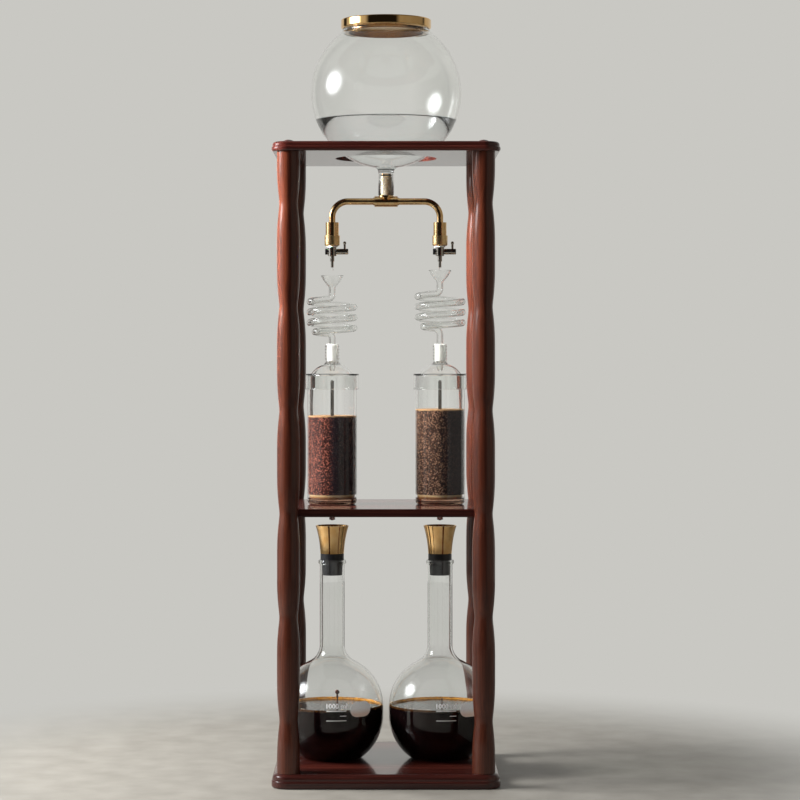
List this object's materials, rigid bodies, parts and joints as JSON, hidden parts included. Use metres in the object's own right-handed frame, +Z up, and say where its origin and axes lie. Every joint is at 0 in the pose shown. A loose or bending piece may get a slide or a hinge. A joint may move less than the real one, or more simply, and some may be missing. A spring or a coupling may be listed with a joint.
{
  "type": "cold drip coffee tower",
  "caption": "Tall wooden cold drip coffee tower: a glass water bowl feeds drip valves, glass coils, brew cylinders and stoppered flasks.",
  "frame": {"origin": "middle of the underside of the base board", "axes": "+Z up, +X to the right seen from the front, -Y out of the front"},
  "size_m": [0.283, 0.27, 0.9626],
  "materials": {
    "lacquered_wood": "glossy lacquer on dark red hardwood",
    "cap_wood": "glossy lacquer",
    "dowel_wood": "bare beech",
    "screw_steel": "zinc plated",
    "rod_steel": "dark stainless steel",
    "bowl_glass": "clear borosilicate glass",
    "cylinder_glass": "clear borosilicate glass",
    "coil_glass": "clear borosilicate glass, ground joint frosted",
    "flask_glass": "clear borosilicate glass",
    "gold_plate": "mirror polished",
    "nickel": "bright nickel plate",
    "silicone": "translucent soft silicone",
    "black_rubber": "satin",
    "white_nylon": "translucent white",
    "black_plastic": "gloss",
    "filter_cloth": "coffee-stained felt"
  },
  "bodies": {
    "frame": {"base_board": "lacquered_wood", "top_board": "lacquered_wood", "middle_shelf": "lacquered_wood", "post_front_left": "lacquered_wood", "post_front_right": "lacquered_wood", "post_back_left": "lacquered_wood", "post_back_right": "lacquered_wood", "screw_caps": "cap_wood", "top_screws": "screw_steel", "base_screws": "screw_steel", "shelf_dowels": "dowel_wood", "brew_cylinder_left": "cylinder_glass", "cylinder_dome_left": "cylinder_glass", "filter_disc_left": "filter_cloth", "filter_rod_left": "rod_steel", "brew_cylinder_right": "cylinder_glass", "cylinder_dome_right": "cylinder_glass", "filter_disc_right": "filter_cloth", "filter_rod_right": "rod_steel"},
    "bowl": {"water_bowl_neck": "bowl_glass", "water_bowl_foot": "bowl_glass", "water_bowl_band": "bowl_glass", "water_bowl_crown": "bowl_glass"},
    "lid": {"bowl_lid": "gold_plate"},
    "manifold": {"tee_fitting": "gold_plate", "stem_sleeve": "silicone", "stem_o_ring": "black_rubber", "arm_left": "gold_plate", "coupling_left": "gold_plate", "union_nut_left": "gold_plate", "washer_left": "white_nylon", "valve_body_left": "nickel", "arm_right": "gold_plate", "coupling_right": "gold_plate", "union_nut_right": "gold_plate", "washer_right": "white_nylon", "valve_body_right": "nickel"},
    "valve_left": {"valve_spindle_left": "nickel", "lever_pin_left": "nickel", "valve_end_cap_left": "black_plastic"},
    "coil_left": {"coil_left": "coil_glass"},
    "flask_left": {"flask_left": "flask_glass"},
    "funnel_left": {"stopper_left": "black_rubber", "funnel_left": "gold_plate"},
    "valve_right": {"valve_spindle_right": "nickel", "lever_pin_right": "nickel", "valve_end_cap_right": "black_plastic"},
    "coil_right": {"coil_right": "coil_glass"},
    "flask_right": {"flask_right": "flask_glass"},
    "funnel_right": {"stopper_right": "black_rubber", "funnel_right": "gold_plate"}
  },
  "joints": [
    {"name": "bowl_lift", "type": "slide", "parent": "frame", "child": "bowl", "axis": [0, 0, 1], "range_m": [0, 0.13]},
    {"name": "lid_lift", "type": "slide", "parent": "bowl", "child": "lid", "axis": [0, 0, 1], "range_m": [0, 0.06]},
    {"name": "manifold_swivel", "type": "hinge", "parent": "frame", "child": "manifold", "pos_m": [0, 0, 0.72994], "axis": [0, 0, 1], "continuous": true},
    {"name": "valve_turn_left", "type": "hinge", "parent": "manifold", "child": "valve_left", "pos_m": [-0.069, 0, 0.66579], "axis": [1, 0, 0], "range_deg": [-90, 90]},
    {"name": "coil_swivel_left", "type": "hinge", "parent": "frame", "child": "coil_left", "pos_m": [-0.069, 0, 0.53194], "axis": [0, 0, 1], "continuous": true},
    {"name": "flask_slide_left", "type": "slide", "parent": "frame", "child": "flask_left", "axis": [-1, 0, 0], "range_m": [0, 0.15]},
    {"name": "funnel_lift_left", "type": "slide", "parent": "flask_left", "child": "funnel_left", "axis": [0, 0, 1], "range_m": [0, 0.0165]},
    {"name": "valve_turn_right", "type": "hinge", "parent": "manifold", "child": "valve_right", "pos_m": [0.069, 0, 0.66579], "axis": [1, 0, 0], "range_deg": [-90, 90]},
    {"name": "coil_swivel_right", "type": "hinge", "parent": "frame", "child": "coil_right", "pos_m": [0.069, 0, 0.53194], "axis": [0, 0, 1], "continuous": true},
    {"name": "flask_slide_right", "type": "slide", "parent": "frame", "child": "flask_right", "axis": [1, 0, 0], "range_m": [0, 0.15]},
    {"name": "funnel_lift_right", "type": "slide", "parent": "flask_right", "child": "funnel_right", "axis": [0, 0, 1], "range_m": [0, 0.0165]}
  ]
}
